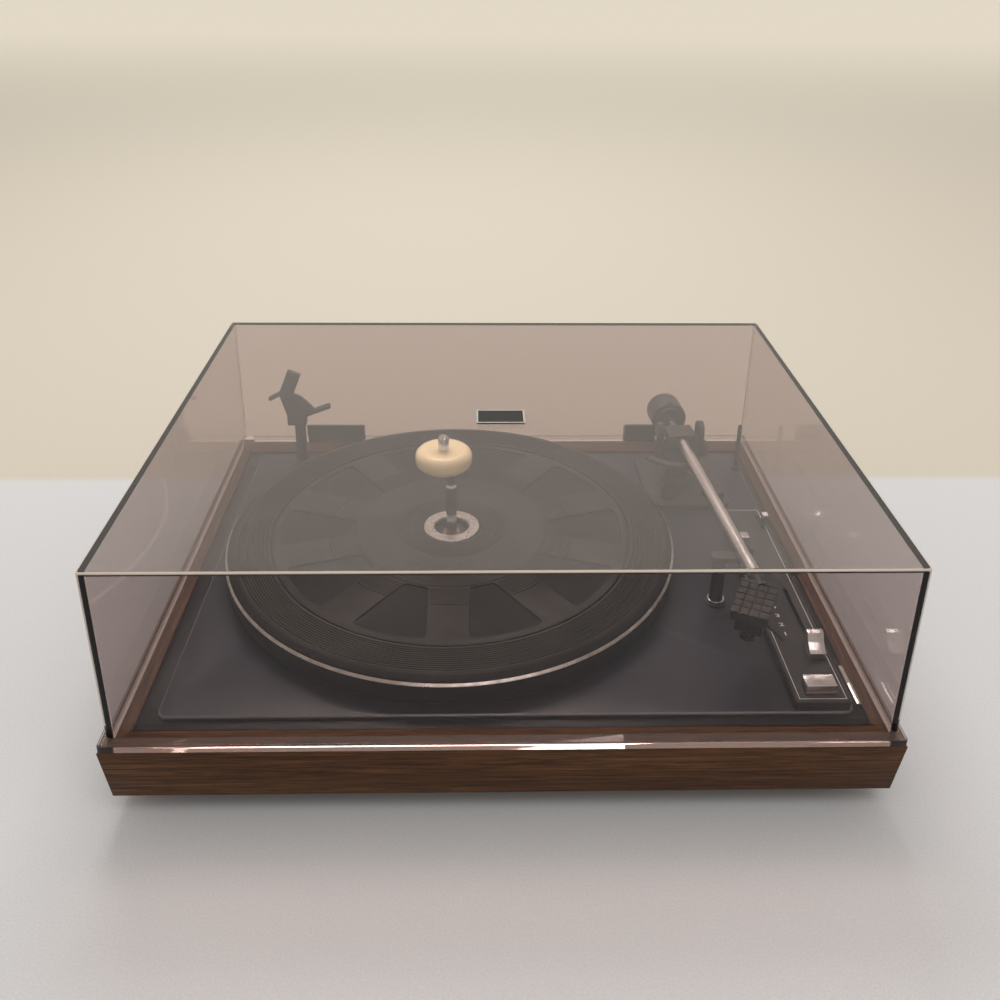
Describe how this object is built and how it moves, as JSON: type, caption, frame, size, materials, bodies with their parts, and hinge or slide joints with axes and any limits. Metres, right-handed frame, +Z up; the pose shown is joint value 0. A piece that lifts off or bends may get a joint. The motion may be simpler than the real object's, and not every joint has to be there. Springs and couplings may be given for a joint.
{
  "type": "turntable record player",
  "caption": "Belt-drive record player with a wood-grain plinth, hinged smoked cover, balanced tonearm and stacking spindle.",
  "frame": {"origin": "on the surface under the feet, below the centre of the whole object's box with the cover closed", "axes": "+X to the right, along the width; +Y to the back, where the cover hinges are; +Z up"},
  "size_m": [0.4284, 0.3576, 0.156],
  "materials": {
    "walnut": "satin walnut-grain vinyl on board",
    "raw_wood": "bare softwood",
    "hardboard": "brown hardboard",
    "black_board": "black painted board",
    "deck_enamel": "charcoal satin enamel",
    "platter_enamel": "black satin coated casting",
    "polished_alloy": "turned and polished",
    "mat_rubber": "grooved black rubber",
    "soft_rubber": "plain black rubber",
    "chrome_plate": "bright plated",
    "bright_steel": "zinc plated steel",
    "brass_part": "turned brass",
    "motor_steel": "plated pressing",
    "black_moulding": "fine textured black moulding",
    "stylus_moulding": "small black moulding",
    "panel_moulding": "satin black moulding",
    "arm_alloy": "satin anodised tube",
    "weight_black": "black painted weight",
    "gear_nylon": "natural nylon",
    "cream_moulding": "aged cream moulding",
    "smoked_acrylic": "clear smoked acrylic, polished",
    "badge_black": "plain black plate with a fine silver edge"
  },
  "bodies": {
    "plinth": {"plinth_front_board": "walnut", "plinth_back_board": "walnut", "plinth_left_board": "walnut", "plinth_right_board": "walnut", "corner_blocks": "raw_wood", "base_panel": "hardboard", "deck_rails": "black_board", "deck_plate": "deck_enamel", "rubber_feet": "soft_rubber", "foot_screws": "bright_steel", "mounting_studs": "bright_steel", "deck_springs": "bright_steel", "bearing_post": "brass_part", "thrust_race": "bright_steel", "motor": "motor_steel", "motor_grommets": "soft_rubber", "drive_belt": "soft_rubber", "control_strip": "panel_moulding", "cycle_button_spring": "bright_steel", "arm_base": "black_moulding", "arm_pillar": "black_moulding", "arm_rest_post": "black_moulding", "arm_rest_collar": "chrome_plate", "arm_rest_clip": "black_moulding", "record_support_post": "black_moulding", "storage_peg": "black_moulding", "hinge_bases": "black_moulding", "hinge_pins": "bright_steel", "hinge_screws": "bright_steel", "cable_glands": "soft_rubber"},
    "cover": {"dust_cover": "smoked_acrylic", "cover_badge": "badge_black", "hinge_leaves": "black_moulding"},
    "platter": {"platter": "platter_enamel", "platter_trim_ring": "polished_alloy", "platter_mat": "mat_rubber", "hub_ring": "polished_alloy"},
    "pulley": {"motor_pulley": "brass_part"},
    "cycle_gear": {"cycle_gear": "gear_nylon"},
    "spindle": {"multi_play_spindle": "chrome_plate"},
    "adaptor": {"adaptor_45": "cream_moulding"},
    "short_spindle": {"short_spindle": "chrome_plate"},
    "programme_slider": {"programme_slider": "chrome_plate"},
    "cycle_button": {"cycle_button": "chrome_plate"},
    "speed_lever": {"speed_lever": "chrome_plate"},
    "cue_lever": {"cue_lever": "black_moulding", "cue_lever_tip": "chrome_plate"},
    "cue_lift": {"cue_lift": "black_moulding"},
    "record_support": {"record_support_platform": "black_moulding"},
    "arm_yoke": {"arm_yoke": "black_moulding", "gimbal_screws": "bright_steel"},
    "tonearm": {"arm_block": "black_moulding", "arm_tube": "arm_alloy", "headshell": "black_moulding", "cartridge": "black_moulding", "stylus": "stylus_moulding", "counterweight_shaft": "bright_steel"},
    "counterweight": {"counterweight": "weight_black"},
    "force_dial": {"force_dial": "black_moulding"},
    "anti_skate_dial": {"anti_skate_dial": "black_moulding"}
  },
  "joints": [
    {"name": "cover_hinge", "type": "hinge", "parent": "plinth", "child": "cover", "pos_m": [0, 0.1748, 0.053], "axis": [-1, 0, 0], "range_deg": [0, 65]},
    {"name": "platter_spin", "type": "hinge", "parent": "plinth", "child": "platter", "pos_m": [-0.0326, 0.0042, 0.06], "axis": [0, 0, -1], "continuous": true},
    {"name": "pulley_spin", "type": "hinge", "parent": "plinth", "child": "pulley", "pos_m": [-0.13254, -0.06578, 0.05], "axis": [0, 0, -1], "continuous": true},
    {"name": "cycle_gear_turn", "type": "hinge", "parent": "plinth", "child": "cycle_gear", "pos_m": [-0.0146, 0.0642, 0.04], "axis": [0, 0, 1], "continuous": true},
    {"name": "spindle_lift", "type": "slide", "parent": "plinth", "child": "spindle", "axis": [0, 0, 1], "range_m": [0, 0.008]},
    {"name": "adaptor_lift", "type": "slide", "parent": "spindle", "child": "adaptor", "axis": [0, 0, 1], "range_m": [0, 0.006]},
    {"name": "short_spindle_lift", "type": "slide", "parent": "plinth", "child": "short_spindle", "axis": [0, 0, 1], "range_m": [0, 0.03]},
    {"name": "programme_slide", "type": "slide", "parent": "plinth", "child": "programme_slider", "axis": [0, 1, 0], "range_m": [0, 0.057]},
    {"name": "cycle_press", "type": "slide", "parent": "plinth", "child": "cycle_button", "axis": [0, 0, -1], "range_m": [0, 0.0018], "stiffness_N_per_m": 400, "springref_m": -0.002, "deforming": ["cycle_button_spring"]},
    {"name": "speed_slide", "type": "slide", "parent": "plinth", "child": "speed_lever", "axis": [0, 1, 0], "range_m": [0, 0.01]},
    {"name": "cue_lever_tilt", "type": "hinge", "parent": "plinth", "child": "cue_lever", "pos_m": [0.189, 0.0258, 0.0516], "axis": [-1, 0, 0], "range_deg": [0, 36]},
    {"name": "cue_lift_rise", "type": "slide", "parent": "plinth", "child": "cue_lift", "axis": [0, 0, 1], "range_m": [0, 0.0034]},
    {"name": "support_swivel", "type": "hinge", "parent": "plinth", "child": "record_support", "pos_m": [-0.1567, 0.1366, 0.08], "axis": [0, 0, 1], "range_deg": [0, 90]},
    {"name": "arm_swing", "type": "hinge", "parent": "plinth", "child": "arm_yoke", "pos_m": [0.1401, 0.0968, 0.07], "axis": [0, 0, -1], "range_deg": [0, 46]},
    {"name": "arm_pitch", "type": "hinge", "parent": "arm_yoke", "child": "tonearm", "pos_m": [0.1401, 0.0968, 0.086], "axis": [-0.9974, -0.0721, 0], "range_deg": [0, 6]},
    {"name": "counterweight_slide", "type": "slide", "parent": "tonearm", "child": "counterweight", "axis": [-0.0721, 0.9974, 0], "range_m": [-0.006, 0.004]},
    {"name": "force_dial_turn", "type": "hinge", "parent": "arm_yoke", "child": "force_dial", "pos_m": [0.15965, 0.09821, 0.076], "axis": [0.9974, 0.0721, 0], "range_deg": [0, 270]},
    {"name": "anti_skate_turn", "type": "hinge", "parent": "plinth", "child": "anti_skate_dial", "pos_m": [0.163, 0.0688, 0.055], "axis": [0, 0, 1], "range_deg": [0, 270]}
  ],
  "couplings": [
    {"joint": "pulley_spin", "follows": "platter_spin", "ratio": 9},
    {"joint": "cue_lever_tilt", "follows": "cue_lift_rise", "rad_per_m": 184.6},
    {"joint": "arm_pitch", "follows": "cue_lift_rise", "rad_per_m": 30.7}
  ]
}
